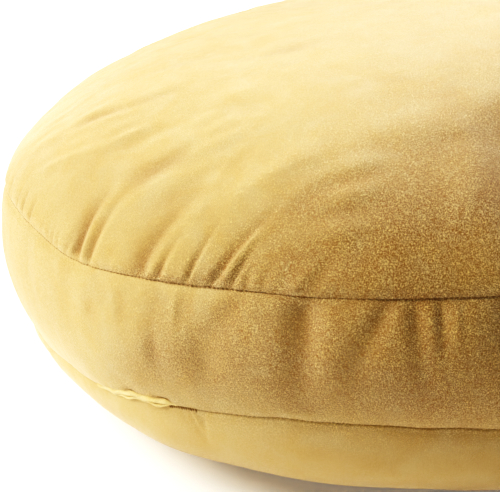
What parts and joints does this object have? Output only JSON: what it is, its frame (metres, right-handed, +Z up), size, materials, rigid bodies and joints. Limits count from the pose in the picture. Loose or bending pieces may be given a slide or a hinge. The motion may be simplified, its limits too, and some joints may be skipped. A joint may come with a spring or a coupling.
{
  "type": "round boxed floor pillow",
  "caption": "Round boxed floor pillow in mustard faux suede, with a crowned top, a side band between two seams and a hand-closed edge on the lower seam.",
  "frame": {"origin": "on the floor, under the middle of the pillow's outline", "axes": "+Z up through the pillow's thickness, -Y towards the side that the picture is taken from, +X to its right"},
  "size_m": [0.6102, 0.6078, 0.214],
  "materials": {
    "suede": "brushed mustard faux suede with a short, granular nap",
    "folded_edge": "the same faux suede, folded over and a little paler"
  },
  "bodies": {
    "root": {"cushion": "suede", "closure_edge": "folded_edge"}
  },
  "joints": []
}
